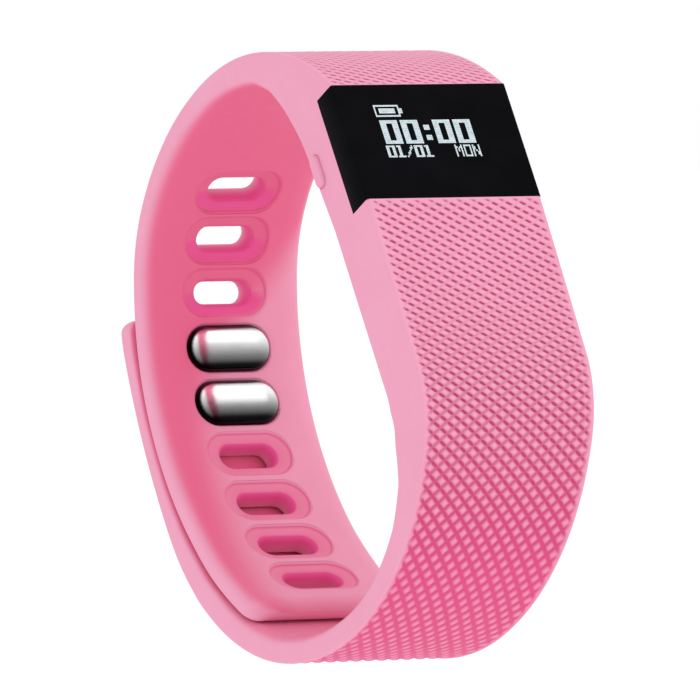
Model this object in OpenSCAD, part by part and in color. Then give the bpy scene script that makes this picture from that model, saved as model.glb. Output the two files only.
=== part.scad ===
// Fitness tracker band, closed as it is worn.
// X runs along the wrist, +Y is the display side and +Z is up. The origin is the centre of
// the wrist loop. A soft band holds an electronics core behind a black display window; its
// clasp strap ends in two steel studs that press through slots in the other strap.

/* [Band] */
// Width of the band at the display
band_w = 19.6; // [19:0.1:20]
// Width of both straps at the back of the loop
strap_w = 18; // [17.6:0.1:18.4]
// Clearance round each knuckle where a strap bends
bend_gap = 0.12; // [0.1:0.01:0.15]
// Corner radius at the ends of the straps
end_r = 2.5; // [2:0.1:3]

/* [Slots and clasp] */
// Number of adjusting slots
slot_count = 9; // [8:1:9]
// Distance between slots along the strap
slot_pitch = 5.9; // [5.8:0.05:6]
// Length of the hole through each slot, across the strap
slot_l = 6; // [5.8:0.1:6.2]
// Width of the hole through each slot, along the strap
slot_w = 2.2; // [2.1:0.1:2.4]
// Depth of the seat round each slot
seat_deep = 0.9; // [0.8:0.1:1]
// Length of a stud's head, across the strap
head_l = 9.1; // [8.8:0.1:9.2]
// Width of a stud's head, along the strap
head_w = 4.3; // [4:0.1:4.4]

/* [Display and button] */
// Length of the display window along the band
window_l = 12.5; // [12.4:0.1:12.6]
// Depth of the window block at the sides
window_deep = 2.93; // [2.9:0.01:2.95]
// Travel of the side button
button_travel = 0.25; // [0.2:0.05:0.3]
// Height that the button stands out of the band
button_proud = 0.4; // [0.3:0.1:0.6]

/* [Electronics] */
// Length of the battery cell along the band
cell_l = 13.3; // [12:0.1:13.4]
// Thickness of the battery cell
cell_t = 3.3; // [3:0.1:3.35]
// Radius of the vibration motor's case
motor_r = 3.1; // [3:0.1:3.1]

/* [Hidden] */
$fn = 48;

soft_pink = "#e994b4";
steel = "#c9cbcd";
near_black = "#17171a";

// Each strap is [start of its outer line, start heading, runs, thicknesses, outward turn].
// A run is [length, turn in degrees]; a thickness is [distance along the outer line, value].
slot_side = [
    [10.83, 25.86], 153,
    [[11.5, 24], [31, 68], [7.7, 25], [15, 25], [27, 43]],
    [[0, 8.8], [6, 6.7], [12.5, 4.1], [16, 3.3], [26, 2.8], [40, 2.5], [100, 2.5]],
    -90
];
clasp_side = [
    [17.35, 15.2], -60.8,
    [[16.9, 0], [8.2, -39], [38.4, -82], [23.6, -55], [19.3, -14], [3, -12]],
    [[0, 6.9], [22, 6.3], [27, 5.3], [31, 3.9], [36, 3.1], [44, 2.6], [64, 2.6], [77, 3.05],
     [83, 2.85], [92, 1.95], [100, 1.75], [110, 2.1]],
    90
];

// Stations along the outer line where the straps bend, split or end
slot_bend_top = 20;
slot_bend_back = 33.5;
slot_back_end = 54.5;
slot_clasped_end = 71.9;
slot_end = 92;
clasp_bend_front = 37;
clasp_bend_under = 60;
clasp_peel = 90;
clasp_end = 109;

// First slot, and the two slots that the studs sit in
slot_first = 39.8;
stud_slots = [3, 4];
slot_thick = 2.5;
seat_l = 9.4;
seat_w = 4.6;
neck_l = 5.4;
neck_w = 1.7;
head_top = 3.5;
head_dome_r = 3.6;
seat_play = 0.1;
plate = [12, 9.6, 0.5];
plate_station = 103.2;
plate_depth = 0.55;

// The core frame: X across, Y down the band, Z out of the display, origin at its middle
face_mid = [14.09, 20.53];
face_tilt = 58.5;
tray_x = 8.6;
tray_wall = 0.6;
deep_v = [-5.6, 4.6];
deep_w = -6.5;
cell_v = [4.6, 21.4];
cell_w = -5.9;
floor_t = 0.5;
gasket_t = 0.12;
tray_top = -window_deep - gasket_t;
cover_w = [-1.9, -1.5];
board_w = [-4.1, -3.5];
board_v = [-5, 6];
board_x = 7.9;
screw_spots = [[-6.5, 5.3], [6.5, 5.3]];
screw_r = 0.4;
screw_head_r = 0.8;
screw_head_h = 0.4;
screw_tip = -5.2;
ledge_v = [4.5, 6.1];
button_v = -0.35;
button_w = -6.2;
button_size = [3.4, 1.4];
stem_r = 0.45;
stem_w = -5.4;
flange_t = 0.4;
flange_stop = 0.05;
flange_in = tray_x + flange_stop + button_travel;
flange_x = [flange_in, flange_in + flange_t];
flange_size = [4.4, 2.5];
flange_w = -5.8;
slide_gap = 0.06;
seal_x = [8.3, 8.6];
seal_r = 0.85;
plunger_end = 8;
switch_x = [5.2, 7.6];
switch_v = [-2.2, 1];
switch_low = -6;
motor_at = [-3.9, -1.2];
motor_w = [-5.95, -4.15];
motor_wall = 0.2;
motor_lid_w = -4.35;
shaft_r = 0.3;
shaft_gap = 0.05;
rotor_r = 2.7;
rotor_hub_r = 0.75;
rotor_w = [-5.55, -4.6];
contact_v = 2.6;
contact_x = [-1.8, 1.8];
contact_r = 0.7;
contact_pin_r = 0.25;
block_w = [-6.9, -6.5];
block_size = [7.6, 3.4];
lead_r = 0.2;
lead_x = 7.65;
lead_w = -3.25;
lead_v = [3, 20.5];

// ---------- outline of the band ----------

function heading_vec(h) = [cos(h), sin(h)];
function run_end(p, h, len, turn) =
    turn == 0 ? p + len * heading_vec(h)
    : p + len / (turn * PI / 180) * [sin(h + turn) - sin(h), cos(h) - cos(h + turn)];

// Point and heading at distance s along a line of runs
function walk(p, h, runs, s, i = 0) =
    s <= runs[i][0] || i == len(runs) - 1
    ? [run_end(p, h, s, runs[i][1] * s / runs[i][0]), h + runs[i][1] * s / runs[i][0]]
    : walk(run_end(p, h, runs[i][0], runs[i][1]), h + runs[i][1], runs, s - runs[i][0], i + 1);

function thick(strap, s) = lookup(s, strap[3]);

// Point at a depth under the outer line, and the heading there
function under(strap, s, depth) =
    let (at = walk(strap[0], strap[1], strap[2], s))
    at[0] - depth * heading_vec(at[1] + strap[4]);
function heading(strap, s) = walk(strap[0], strap[1], strap[2], s)[1];

function stations(s0, s1) =
    let (n = ceil(abs(s1 - s0) / 2.4))
    [for (i = [0 : n]) s0 + (s1 - s0) * i / n];
function outer_points(strap, s0, s1) = [for (s = stations(s0, s1)) under(strap, s, 0)];
function inner_points(strap, s0, s1) =
    [for (s = stations(s0, s1)) under(strap, s, thick(strap, s))];
function bend_point(strap, s) = under(strap, s, thick(strap, s) / 2);

// Stands a profile drawn in Y and Z up across the band's width
module across(w) {
    rotate([90, 0, 90]) linear_extrude(height = w, center = true) children();
}

module strap_profile(strap, s0, s1) {
    polygon(concat(outer_points(strap, s0, s1), inner_points(strap, s1, s0)));
}

// Round bar across the band at a bend, larger than half the thickness by grow
module knuckle(strap, s, grow) {
    c = bend_point(strap, s);
    translate([0, c[0], c[1]]) rotate([0, 90, 0])
        cylinder(h = band_w + 2, r = thick(strap, s) / 2 + grow, center = true);
}

// A stretch of strap: a round start where it bends, a hollow end where the next one bends
module strap_piece(strap, s0, s1, round_start, hollow_end) {
    difference() {
        union() {
            across(band_w) strap_profile(strap, s0, s1);
            if (round_start) knuckle(strap, s0, 0);
        }
        if (hollow_end) knuckle(strap, s1, bend_gap);
    }
}

// Outline seen from above: the slot strap narrows from the display to the back
module plan_from_above() {
    linear_extrude(height = 100, center = true)
        polygon([[-band_w / 2, 30], [-band_w / 2, 10], [-strap_w / 2, -16], [-strap_w / 2, -40],
                 [strap_w / 2, -40], [strap_w / 2, -16], [band_w / 2, 10], [band_w / 2, 30]]);
}

// Outline seen from the front: the clasp strap narrows from the display to the bottom
module plan_from_front() {
    rotate([90, 0, 0]) linear_extrude(height = 100, center = true)
        polygon([[-band_w / 2, 40], [-band_w / 2, 0], [-strap_w / 2, -26], [-strap_w / 2, -40],
                 [strap_w / 2, -40], [strap_w / 2, -26], [band_w / 2, 0], [band_w / 2, 40]]);
}

// Frame on the outer face of a strap: Z points out, Y lies along the strap
module on_slot_side(s) {
    p = under(slot_side, s, 0);
    translate([0, p[0], p[1]]) rotate([heading(slot_side, s) + 180, 0, 0]) children();
}
module on_clasp_side(s) {
    p = under(clasp_side, s, 0);
    translate([0, p[0], p[1]]) rotate([heading(clasp_side, s), 0, 0]) children();
}
module in_core() {
    translate([0, face_mid[0], face_mid[1]]) rotate([-face_tilt, 0, 0]) children();
}

// ---------- small building shapes ----------

module block(x, y, z) {
    translate([x[0], y[0], z[0]]) cube([x[1] - x[0], y[1] - y[0], z[1] - z[0]]);
}
module stadium(l, w) {
    square([l - w, w], center = true);
    for (side = [-1, 1]) translate([side * (l - w) / 2, 0]) circle(d = w);
}
module oval_bar(l, w, z0, z1) {
    translate([0, 0, z0]) linear_extrude(height = z1 - z0) stadium(l, w);
}
module disc(at, r, w) {
    translate([at[0], at[1], w[0]]) cylinder(h = w[1] - w[0], r = r);
}

// ---------- band ----------

module tray_space() {
    block([-tray_x, tray_x], deep_v, [deep_w, -window_deep]);
    block([-tray_x, tray_x], [deep_v[1], window_l / 2], [cell_w, -window_deep]);
    block([-tray_x, tray_x], [window_l / 2, cell_v[1]], [cell_w, cover_w[1]]);
}

module band_sleeve() {
    color(soft_pink) difference() {
        intersection() {
            across(band_w) polygon(concat(
                outer_points(slot_side, slot_bend_top, 0),
                outer_points(clasp_side, 0, clasp_bend_front),
                inner_points(clasp_side, clasp_bend_front, 0),
                inner_points(slot_side, 0, slot_bend_top)));
            plan_from_above();
            plan_from_front();
        }
        knuckle(slot_side, slot_bend_top, bend_gap);
        knuckle(clasp_side, clasp_bend_front, bend_gap);
        in_core() {
            block([-band_w, band_w], [-window_l / 2, window_l / 2], [-window_deep, 3]);
            tray_space();
            block([-block_size[0] / 2, block_size[0] / 2],
                  [contact_v - block_size[1] / 2, contact_v + block_size[1] / 2], [-9, deep_w]);
            button_opening();
        }
    }
}

module slot_cuts(first, last) {
    for (i = [first : last]) on_slot_side(slot_first + i * slot_pitch) {
        oval_bar(slot_l, slot_w, -slot_thick - 1, 1);
        oval_bar(seat_l, seat_w, -slot_thick - 1, -slot_thick + seat_deep);
    }
}

module slot_strap_top() {
    color(soft_pink) intersection() {
        strap_piece(slot_side, slot_bend_top, slot_bend_back, true, true);
        plan_from_above();
    }
}

module slot_strap_back() {
    color(soft_pink) difference() {
        intersection() {
            strap_piece(slot_side, slot_bend_back, slot_back_end, true, false);
            plan_from_above();
        }
        slot_cuts(0, 2);
    }
}

// The stretch whose slots the studs press through
module slot_strap_clasped() {
    color(soft_pink) difference() {
        intersection() {
            strap_piece(slot_side, slot_back_end, slot_clasped_end, false, false);
            plan_from_above();
        }
        slot_cuts(3, 5);
    }
}

module slot_strap_tail() {
    tip_y = under(slot_side, slot_end, slot_thick)[0];
    color(soft_pink) difference() {
        intersection() {
            strap_piece(slot_side, slot_clasped_end, slot_end, false, false);
            linear_extrude(height = 100, center = true) {
                translate([-strap_w / 2, -40]) square([strap_w, 40 + tip_y - end_r]);
                translate([-strap_w / 2 + end_r, -40]) square([strap_w - 2 * end_r, 60]);
                for (side = [-1, 1])
                    translate([side * (strap_w / 2 - end_r), tip_y - end_r]) circle(r = end_r);
            }
        }
        slot_cuts(6, slot_count - 1);
    }
}

module clasp_strap_front() {
    color(soft_pink) intersection() {
        strap_piece(clasp_side, clasp_bend_front, clasp_bend_under, true, true);
        plan_from_front();
    }
}

module clasp_strap_under() {
    color(soft_pink) intersection() {
        strap_piece(clasp_side, clasp_bend_under, clasp_peel, true, true);
        across(strap_w) square(200, center = true);
    }
}

module clasp_strap_tip() {
    color(soft_pink) difference() {
        intersection() {
            union() {
                strap_piece(clasp_side, clasp_peel, clasp_end, true, false);
                knuckle(clasp_side, clasp_end, 0);
            }
            across(strap_w) square(200, center = true);
        }
        on_clasp_side(plate_station) clasp_plate_block();
        stud_necks();
    }
}

// ---------- clasp ----------

module clasp_plate_block() {
    block([-plate[0] / 2, plate[0] / 2], [-plate[1] / 2, plate[1] / 2],
          [-plate_depth - plate[2], -plate_depth]);
}

// Necks of both studs, cut off level with the outer face of the plate
module stud_necks() {
    intersection() {
        for (i = stud_slots) on_slot_side(slot_first + i * slot_pitch)
            oval_bar(neck_l, neck_w, -slot_thick + seat_deep - seat_play, 4);
        on_clasp_side(plate_station) block([-9, 9], [-9, 9], [-9, -plate_depth]);
    }
}

module clasp_anchor() {
    color(steel) difference() {
        on_clasp_side(plate_station) clasp_plate_block();
        stud_necks();
    }
}

// Domed head: a round bar trimmed to an oval
module stud_head() {
    base = -slot_thick + seat_deep - seat_play;
    base_half = sqrt(pow(head_dome_r, 2) - pow(head_dome_r - head_top - base, 2));
    bar_half = head_l / 2 - base_half;
    intersection() {
        oval_bar(head_l, head_w, -head_top, base);
        translate([0, 0, -head_top + head_dome_r]) {
            rotate([0, 90, 0]) cylinder(h = 2 * bar_half, r = head_dome_r, center = true);
            for (side = [-1, 1]) translate([side * bar_half, 0, 0]) sphere(r = head_dome_r);
        }
    }
}

module clasp_studs() {
    color(steel) {
        stud_necks();
        for (i = stud_slots) on_slot_side(slot_first + i * slot_pitch) stud_head();
    }
}

// ---------- display ----------

module display_window() {
    rim_x = 7.6;
    rim_v = 5.55;
    glass_t = 0.9;
    color(near_black) in_core() difference() {
        block([-band_w / 2, band_w / 2], [-window_l / 2, window_l / 2], [-window_deep, 0]);
        block([-rim_x, rim_x], [-rim_v, rim_v], [-window_deep - 1, -glass_t]);
    }
}

module window_gasket() {
    color("#303034") in_core() difference() {
        block([-tray_x, tray_x], [deep_v[0], window_l / 2], [tray_top, -window_deep]);
        block([-tray_x + 0.9, tray_x - 0.9], [deep_v[0] + 0.5, window_l / 2 - 0.6],
              [tray_top - 1, 0]);
    }
}

module oled_panel() {
    color("#26303a") in_core() block([-7.25, 7.25], [-5.3, 4.5], [-2.35, -0.95]);
}

// Ribbon that leaves the panel, turns down and lands on the board
module oled_flex() {
    ribbon = 0.15;
    bend_v = 5.35;
    color("#b8742a") in_core() {
        block([-4, 4], [4.5, bend_v], [-1.9, -1.9 + ribbon]);
        block([-4, 4], [bend_v - ribbon, bend_v], [board_w[1] + ribbon, -1.9]);
        block([-4, 4], [3.2, bend_v], [board_w[1], board_w[1] + ribbon]);
    }
}

// ---------- core ----------

module core_tray() {
    inner_x = tray_x - tray_wall;
    color("#2b2b30") in_core() difference() {
        union() {
            block([-tray_x, tray_x], deep_v, [deep_w, tray_top]);
            block([-tray_x, tray_x], [deep_v[1], window_l / 2], [cell_w, tray_top]);
            block([-tray_x, tray_x], [window_l / 2, cell_v[1]], [cell_w, cover_w[0]]);
        }
        // room under the board, the board itself, and the battery bay
        block([-inner_x, inner_x], [deep_v[0] + tray_wall, ledge_v[0]],
              [deep_w + floor_t, board_w[0]]);
        block([-inner_x, inner_x], [deep_v[0] + tray_wall, ledge_v[1]], [board_w[0], 0]);
        block([-inner_x, inner_x], [ledge_v[1], cell_v[1] - tray_wall], [cell_w + floor_t, 0]);
        for (spot = screw_spots) disc(spot, screw_r, [screw_tip - 0.1, 0]);
        for (x = contact_x) disc([x, contact_v], contact_r, [deep_w - 1, deep_w + floor_t + 0.1]);
        stem_bore(stem_r + slide_gap, [7, 9]);
        stem_bore(seal_r, seal_x);
    }
}

module core_cover() {
    color("#2b2b30") in_core()
        block([-tray_x, tray_x], [window_l / 2, cell_v[1]], cover_w);
}

module main_board() {
    color("#1d5b3a") in_core() difference() {
        block([-board_x, board_x], board_v, board_w);
        for (spot = screw_spots) disc(spot, screw_r, [-9, 0]);
    }
}

module board_screws() {
    color(steel) in_core() for (spot = screw_spots) {
        disc(spot, screw_r, [screw_tip, board_w[1]]);
        disc(spot, screw_head_r, [board_w[1], board_w[1] + screw_head_h]);
    }
}

// Parts under the board hang from its lower face
module under_board(x, v, h) {
    in_core() block(x, v, [board_w[0] - h, board_w[0]]);
}
module processor_chip() {
    color("#151515") under_board([0.4, 4.4], [-4.6, -0.6], 0.85);
}
module motion_sensor() {
    color("#202024") under_board([2.4, 4.4], [0, 2], 0.9);
}
module memory_chip() {
    color("#1b1b1f") under_board([-7.6, -5], [2.3, 4.2], 0.7);
}
module crystal_can() {
    color("#b9bcc0") under_board([-0.1, 1.9], [0.1, 1.3], 0.6);
}

// Two rows of chip capacitors and resistors on the upper face
module board_passives() {
    color("#a58a5d") in_core() for (row = [-3.4, -2.2], i = [0 : 7])
        translate([-6.4 + i * 1.5, row, board_w[1] + 0.25]) cube([1, 0.5, 0.5], center = true);
}
module chip_antenna() {
    color("#d9d6cc") in_core() block([-3.5, 3.5], [-4.9, -4.1], [board_w[1], board_w[1] + 0.8]);
}

module battery_cell() {
    foil_r = 1;
    color("#c4c7cb") in_core() {
        block([-7.3, 7.3], [6.6, 6.6 + cell_l], [cell_w + floor_t + 0.05 + foil_r / 4,
              cell_w + floor_t + 0.05 + cell_t]);
        block([-7.3 + foil_r, 7.3 - foil_r], [6.6, 6.6 + cell_l],
              [cell_w + floor_t + 0.05, cell_w + floor_t + 0.05 + foil_r / 4]);
    }
}
module battery_board() {
    color("#1d5b3a") in_core() block([-7.4, 7.4], [20.05, 20.65], [-5.2, -2.6]);
}
module battery_leads() {
    for (side = [-1, 1]) color(side < 0 ? "#b3202a" : "#1c1c1e") in_core()
        translate([side * lead_x, lead_v[0], lead_w]) rotate([-90, 0, 0])
            cylinder(h = lead_v[1] - lead_v[0], r = lead_r, $fn = 24);
}

// ---------- vibration motor ----------

module motor_case() {
    color(steel) in_core() difference() {
        disc(motor_at, motor_r, [motor_w[0], motor_lid_w]);
        disc(motor_at, motor_r - motor_wall, [motor_w[0] + motor_wall, 0]);
    }
}
module motor_lid() {
    color(steel) in_core() disc(motor_at, motor_r, [motor_lid_w, motor_w[1]]);
}
module motor_shaft() {
    color("#e2e2e2") in_core() disc(motor_at, shaft_r, [motor_w[0] + motor_wall, motor_lid_w]);
}
// Half-round weight that turns on the shaft
module motor_rotor() {
    color("#8d8f93") in_core() difference() {
        union() {
            intersection() {
                disc(motor_at, rotor_r, rotor_w);
                block([-9, 0], [motor_at[1], 9], [-9, 0]);
            }
            disc(motor_at, rotor_hub_r, rotor_w);
        }
        disc(motor_at, shaft_r + shaft_gap, [-9, 0]);
    }
}

// ---------- side button and its switch ----------

module stem_bore(r, x) {
    translate([x[0], button_v, stem_w]) rotate([0, 90, 0]) cylinder(h = x[1] - x[0], r = r);
}

// Oval bar lying along X, with its long side along the band
module button_bar(size, w, x) {
    translate([x[0], button_v, w]) rotate([0, 90, 0]) rotate([0, 0, 90])
        linear_extrude(height = x[1] - x[0]) stadium(size[0], size[1]);
}

// Opening for the button's cap, and the room that its flange slides in
module button_opening() {
    gap = 2 * slide_gap;
    button_bar(button_size + [gap, gap], button_w, [flange_x[1] - 0.01, 11]);
    button_bar(flange_size + [gap, gap], flange_w, [tray_x, flange_x[1]]);
}

module side_button() {
    color(soft_pink) in_core() {
        button_bar(button_size, button_w, [flange_x[1], band_w / 2 + button_proud]);
        button_bar(flange_size, flange_w, flange_x);
        stem_bore(stem_r, [plunger_end, flange_x[0]]);
    }
}

module button_seal() {
    color("#3a3a3f") in_core() difference() {
        stem_bore(seal_r, seal_x);
        stem_bore(stem_r + slide_gap, [8, 9]);
    }
}

module switch_body() {
    color("#d7d7d9") in_core() difference() {
        block(switch_x, switch_v, [switch_low, board_w[0]]);
        stem_bore(stem_r + slide_gap, [switch_x[1] - 1.2, switch_x[1] + 1]);
    }
}

module switch_plunger() {
    color("#8c1f2b") in_core() stem_bore(stem_r, [switch_x[1] - 0.8, plunger_end]);
}

// ---------- charging contacts ----------

module contact_block() {
    color(near_black) in_core() difference() {
        block([-block_size[0] / 2, block_size[0] / 2],
              [contact_v - block_size[1] / 2, contact_v + block_size[1] / 2], block_w);
        for (x = contact_x) disc([x, contact_v], contact_r, [-9, 0]);
    }
}

module charging_contacts() {
    color("#d9b45a") in_core() for (x = contact_x) {
        disc([x, contact_v], contact_r, [block_w[0], deep_w + floor_t]);
        disc([x, contact_v], contact_pin_r, [deep_w + floor_t, board_w[0]]);
    }
}

band_sleeve();
slot_strap_top();
slot_strap_back();
slot_strap_clasped();
slot_strap_tail();
clasp_strap_front();
clasp_strap_under();
clasp_strap_tip();
clasp_anchor();
clasp_studs();
display_window();
window_gasket();
oled_panel();
oled_flex();
core_tray();
core_cover();
main_board();
board_screws();
processor_chip();
motion_sensor();
memory_chip();
crystal_can();
board_passives();
chip_antenna();
battery_cell();
battery_board();
battery_leads();
motor_case();
motor_shaft();
motor_rotor();
motor_lid();
side_button();
button_seal();
switch_body();
switch_plunger();
contact_block();
charging_contacts();
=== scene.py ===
# Fitness tracker band: the visual model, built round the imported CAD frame.
# Lengths in this file are in millimetres until they reach Blender, which works in metres.
import math

import bpy
import numpy as np
from mathutils import Matrix, Vector
from mathutils.kdtree import KDTree


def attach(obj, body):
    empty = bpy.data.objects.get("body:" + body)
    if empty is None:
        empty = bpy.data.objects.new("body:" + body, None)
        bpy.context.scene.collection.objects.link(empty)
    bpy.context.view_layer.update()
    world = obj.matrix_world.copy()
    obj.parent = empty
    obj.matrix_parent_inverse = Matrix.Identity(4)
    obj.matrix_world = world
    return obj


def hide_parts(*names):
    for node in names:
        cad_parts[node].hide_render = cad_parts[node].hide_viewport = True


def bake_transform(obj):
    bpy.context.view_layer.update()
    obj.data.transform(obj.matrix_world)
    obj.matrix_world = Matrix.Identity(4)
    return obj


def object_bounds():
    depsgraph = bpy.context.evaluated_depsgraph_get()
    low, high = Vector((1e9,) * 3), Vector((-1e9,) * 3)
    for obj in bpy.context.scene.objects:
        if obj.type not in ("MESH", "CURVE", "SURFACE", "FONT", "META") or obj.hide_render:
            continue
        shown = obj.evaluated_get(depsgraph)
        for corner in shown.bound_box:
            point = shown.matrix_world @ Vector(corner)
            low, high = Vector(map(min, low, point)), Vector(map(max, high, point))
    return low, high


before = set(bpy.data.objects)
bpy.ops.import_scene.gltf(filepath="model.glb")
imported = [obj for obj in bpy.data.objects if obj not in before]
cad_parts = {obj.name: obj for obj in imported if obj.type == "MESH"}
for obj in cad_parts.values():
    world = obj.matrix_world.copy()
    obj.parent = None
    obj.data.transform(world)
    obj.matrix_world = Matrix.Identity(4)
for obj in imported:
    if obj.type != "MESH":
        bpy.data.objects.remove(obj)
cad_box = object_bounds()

MM = 0.001

# ---------- the band's outline, as the CAD has it ----------

# Each side starts at one end of the display and runs to the end of its strap. A station is a place
# along its outer line, measured from there. Tables are lists of (station, value). A side holds:
#   start, heading, runs   the outer line in Y and Z: a chain of runs, (length, turn in degrees)
#   outward                turn from the line's heading to the outside of the loop
#   thickness, end         the strap's thickness, and the station where it ends
#   nose, end_corner       how the end is rounded: through its thickness, and seen from outside
#   cell, phase_sign       length of one cell of the relief, and which way the cells are counted
#   relief, diamonds       depth of the grooves, and how far the dashes have become diamonds
#   edge_along, edge_deep  size of the rounded inner edge, across the band and through it
#   deep_inside            how far across the inner face the painted shade reaches, from +X to -X
#   deep_level             how deep that painted pink shade is
#   deep_outside           how deep the painted pink shade is on the outer face
SLOT_SIDE = {
    "start": (10.83, 25.86),
    "heading": 153.0,
    "outward": -90.0,
    "runs": ((11.5, 24), (31, 68), (7.7, 25), (15, 25), (27, 43)),
    "thickness": ((0, 8.8), (6, 6.7), (12.5, 4.1), (16, 3.3), (26, 2.8), (40, 2.5), (100, 2.5)),
    "end": 92.0,
    "nose": 1.1,
    "end_corner": 2.5,
    "cell": ((0, 0.97), (5, 1.05), (18, 1.6), (112, 1.6)),
    "phase_sign": -1,
    "relief": ((0, 0.085), (3, 0.07), (10, 0.05), (20, 0.08), (112, 0.08)),
    "diamonds": ((0, 0.1), (12, 0.4), (24, 0.9), (112, 0.9)),
    "edge_along": ((0, 0.6), (8, 0.8), (22, 1.8), (34, 2.8), (112, 2.8)),
    "edge_deep": ((0, 0.6), (8, 0.8), (22, 1.1), (34, 1.4), (112, 1.4)),
    # painted shade: the deep pink inside the loop draws back towards +X further down the strap,
    # where light reaches in from the -X side
    "deep_inside": ((0, 1.3), (40, 1.2), (46, 0.95), (52, 0.73), (57, 0.45), (63, 0.28),
                    (75, 0.22), (92, 0.1)),
    "deep_level": ((0, 1.0), (112, 1.0)),
    "deep_outside": ((0, 0.0), (112, 0.0)),
}
CLASP_SIDE = {
    "start": (17.35, 15.2),
    "heading": -60.8,
    "outward": 90.0,
    "runs": ((16.9, 0), (8.2, -39), (38.4, -82), (23.6, -55), (19.3, -14), (3, -12)),
    "thickness": ((0, 6.9), (22, 6.3), (27, 5.3), (31, 3.9), (36, 3.1), (44, 2.6), (64, 2.6),
                  (77, 3.05), (83, 2.85), (92, 1.95), (100, 1.75), (110, 2.1)),
    "end": 110.05,
    "nose": 1.05,
    "end_corner": 1.4,
    "cell": ((0, 0.97), (14, 0.95), (22, 1.1), (30, 1.5), (38, 2.0), (46, 2.3), (112, 2.3)),
    "phase_sign": 1,
    "relief": ((0, 0.085), (14, 0.095), (28, 0.13), (40, 0.16), (112, 0.16)),
    "diamonds": ((0, 0.1), (12, 0.2), (26, 0.6), (38, 1.0), (112, 1.0)),
    "edge_along": ((0, 0.5), (24, 0.7), (40, 1.2), (60, 1.6), (90, 1.2), (112, 0.8)),
    "edge_deep": ((0, 0.5), (24, 0.7), (40, 0.9), (60, 1.0), (90, 0.7), (112, 0.6)),
    # painted shade: deep pink inside the loop, lighter along the middle of this strap, and on the
    # outer face further down it
    "deep_inside": ((0, 1.3), (112, 1.3)),
    "deep_level": ((0, 1.0), (28, 1.0), (55, 0.5), (70, 0.5), (78, 1.0), (112, 1.0)),
    "deep_outside": ((0, 0.0), (20, 0.0), (40, 0.35), (112, 0.35)),
}

# Where both sides' tables end, a little past the longer strap
LAST_STATION = 112

# Half the band's width, seen from above by Y and seen from the front by Z
WIDTH_BY_Y = ((-16, 9.0), (10, 9.8))
WIDTH_BY_Z = ((-26, 9.0), (0, 9.8))
OUTER_CORNER = 0.32
# Share of the thickness by which each face closes in at the very end of a strap
NOSE_CLOSES = 0.48

# The relief is a lattice of diamonds: this many cells across, and this many mesh steps a cell.
# Grooves are measured in cells. They widen as the dashes become diamonds, and the rising ones are
# a little wider. The relief fades out over these distances from the band's edge.
CELLS_ACROSS = 12
CELL_STEPS = 10
GROOVE_HALF_WIDTH = 0.17
GROOVE_WIDENS = 0.35
RISING_WIDER = 1.15
DASH_GAP = (0.08, 0.3)
DOME_SHARE = 0.15
RELIEF_FADE = (0.1, 1.0)
# Depth at which the painted shade in the grooves reaches full strength
FULL_SHADE_RELIEF = 0.085
# The painted shade of deep pink inside the loop comes in between these turns of the inner edge,
# in radians, and its far limit is blurred by this share of the band's width
INNER_SHADE_TURN = (0.3, 0.9)
INNER_SHADE_BLUR = 0.14

# Mesh steps round a section, rows under the display and round a strap's end, and the least gap
# left before the rows of the end
CORNER_STEPS = 3
SIDE_STEPS = 4
EDGE_STEPS = 12
INNER_STEPS = 24
DISPLAY_ROWS = 8
NOSE_ROWS = 9
ROW_GAP = 0.05

# Where the strap's pieces meet, by station, and half the length over which each bend is spread
SLEEVE_SLOT_CUT = 12.0
SLOT_MID_CUT = 26.75
SLEEVE_CLASP_CUT = 28.0
CLASP_MID_CUT = 48.5
CLASP_LOW_CUT = 75.0
TOP_BEND_SPREAD = 6.0
FRONT_BEND_SPREAD = 8.0
LOW_BEND_SPREAD = 9.0

# Slots and studs: stations of the slots, sizes as (length, width), and heights from the outer face
SLOT_FIRST = 39.8
SLOT_PITCH = 5.9
SLOT_COUNT = 9
STUD_SLOTS = (3, 4)
SLOT_THICK = 2.5
SEAT = (9.4, 4.6)
SEAT_DEEP = 0.9
SEAT_ROUND = (0.4, 0.2)
HOLE = (6.0, 2.2)
HEAD = (9.1, 4.3)
HEAD_BASE = -1.7
HEAD_TOP = -3.5
NECK = (5.4, 1.7)
CROWN_STARTS = 0.45

# The core's frame: X across, V down the display, W out of it
CORE = (Matrix.Translation((0, 14.09 * MM, 20.53 * MM))
        @ Matrix.Rotation(math.radians(-58.5), 4, "X"))
HALF_BAND = 9.8
WINDOW_HALF = 6.25
WINDOW_DEEP = 2.93
WINDOW_SLOPE = 0.1
WINDOW_BEVEL = 0.03
PANEL_HALF = (7.6, 5.55)
GLASS_THICK = 0.9

# Room in the sleeve for the core: the deep part over the board, and the battery's bay
TRAY_HALF = 8.6
DEEP_V = (-5.6, 4.6)
DEEP_W = -6.5
BAY_V = (4.6, 21.4)
BAY_W = (-5.9, -1.5)
PLUG_HALF = 3.8
PLUG_V = (0.9, 4.3)

# The side button: (length, width) of its cap and of the flange that holds it in, and how far out
# in X each of its steps lies
BUTTON_V = -0.35
BUTTON_W = -6.2
CAP = (3.4, 1.4)
CAP_EDGE = 9.9
CAP_ROUND = (0.35, 0.3)
FLANGE_W = -5.8
FLANGE = (4.4, 2.5)
FLANGE_X = (8.9, 9.3)
FLANGE_ROUND = 0.05
STEM = 0.9
STEM_W = -5.4
STEM_X = 8.0
CAP_PLAY = 0.12


def table(pairs, at):
    """Value at each place along a list of (place, value)."""
    places, values = zip(*pairs)
    return np.interp(at, places, values)


def smooth(low, high, value):
    t = np.clip((value - low) / (high - low), 0, 1)
    return t * t * (3 - 2 * t)


def arc(heading, bend, along):
    """Step from the start of an arc: heading in radians, bend in radians for each millimetre."""
    along = np.asarray(along, float)
    if bend == 0:
        return along[..., None] * np.array([math.cos(heading), math.sin(heading)])
    end = heading + bend * along
    step = np.stack([np.sin(end) - math.sin(heading), math.cos(heading) - np.cos(end)], -1)
    return step / bend


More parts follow.
